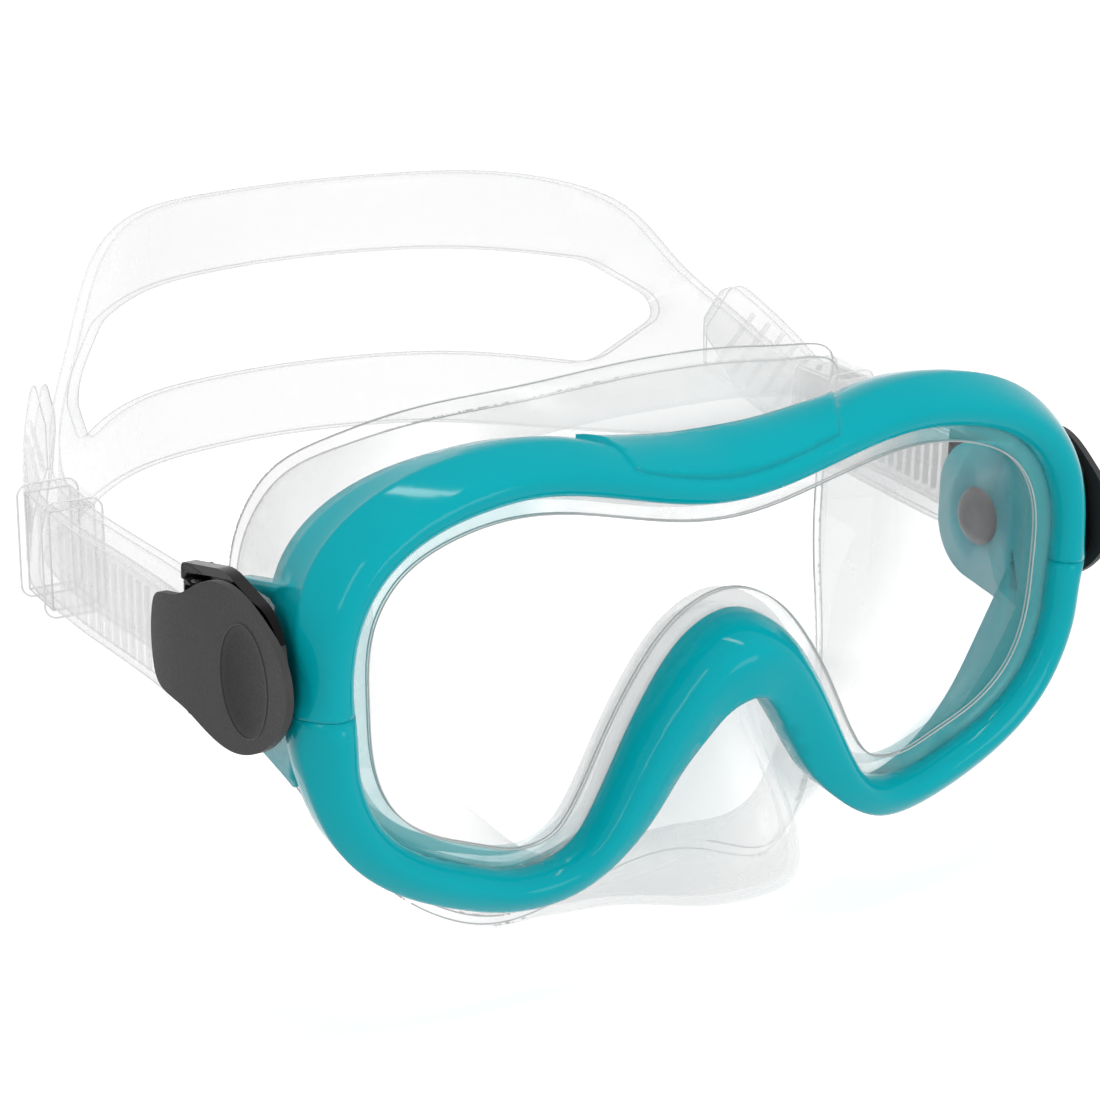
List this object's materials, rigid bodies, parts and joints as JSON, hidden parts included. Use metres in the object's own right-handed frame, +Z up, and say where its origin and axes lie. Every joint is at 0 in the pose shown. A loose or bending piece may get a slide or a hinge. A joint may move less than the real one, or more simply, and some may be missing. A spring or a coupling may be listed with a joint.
{
  "type": "snorkel mask",
  "caption": "Single-lens snorkel mask with clear skirt and nose pocket, glossy teal frame, swivelling quick-release strap buckles and a split clear head strap.",
  "frame": {"origin": "on the lens's front face and the mask's symmetry plane, halfway up the lens above the nose arch", "axes": "+Z up as worn, -Y the way the wearer looks, +X the wearer's left"},
  "size_m": [0.1798, 0.1889, 0.1044],
  "materials": {
    "lens_glass": "polished",
    "skirt_silicone": "clear, smooth",
    "frame_plastic": "high gloss",
    "strap_silicone": "clear, satin",
    "post_plastic": "gloss",
    "buckle_plastic": "high gloss",
    "lever_plastic": "fine matt texture",
    "roller_plastic": "smooth",
    "spring_steel": "satin",
    "pin_steel": "ground",
    "keeper_silicone": "clear, satin"
  },
  "bodies": {
    "mask": {"lens": "lens_glass", "skirt": "skirt_silicone", "frame_upper": "frame_plastic", "frame_lower": "frame_plastic"},
    "strap_and_buckles": {"strap": "strap_silicone", "swivel_post_left": "post_plastic", "buckle_body_left": "buckle_plastic", "roller_pin_left": "pin_steel", "lever_pin_left": "pin_steel", "lever_spring_left": "spring_steel", "strap_keeper_left": "keeper_silicone", "swivel_post_right": "post_plastic", "buckle_body_right": "buckle_plastic", "roller_pin_right": "pin_steel", "lever_pin_right": "pin_steel", "lever_spring_right": "spring_steel", "strap_keeper_right": "keeper_silicone"},
    "lever_left": {"release_lever_left": "lever_plastic"},
    "lever_right": {"release_lever_right": "lever_plastic"},
    "roller_left": {"strap_roller_left": "roller_plastic"},
    "roller_right": {"strap_roller_right": "roller_plastic"}
  },
  "joints": [
    {"name": "strap_swivel", "type": "hinge", "parent": "mask", "child": "strap_and_buckles", "pos_m": [0, 0.0228, -0.013], "axis": [1, 0, 0], "range_deg": [-25, 25]},
    {"name": "release_lever_left_press", "type": "hinge", "parent": "strap_and_buckles", "child": "lever_left", "pos_m": [0.08218, 0.0168, -0.011], "axis": [0, 0, -1], "range_deg": [0, 2.5], "stiffness_Nm_per_rad": 0.4, "springref_deg": -2.86},
    {"name": "strap_roller_left_turn", "type": "hinge", "parent": "strap_and_buckles", "child": "roller_left", "pos_m": [0.0821, 0.0288, -0.011], "axis": [0, 0, 1], "continuous": true},
    {"name": "release_lever_right_press", "type": "hinge", "parent": "strap_and_buckles", "child": "lever_right", "pos_m": [-0.08218, 0.0168, -0.011], "axis": [0, 0, 1], "range_deg": [0, 2.5], "stiffness_Nm_per_rad": 0.4, "springref_deg": -2.86},
    {"name": "strap_roller_right_turn", "type": "hinge", "parent": "strap_and_buckles", "child": "roller_right", "pos_m": [-0.0821, 0.0288, -0.011], "axis": [0, 0, -1], "continuous": true}
  ]
}
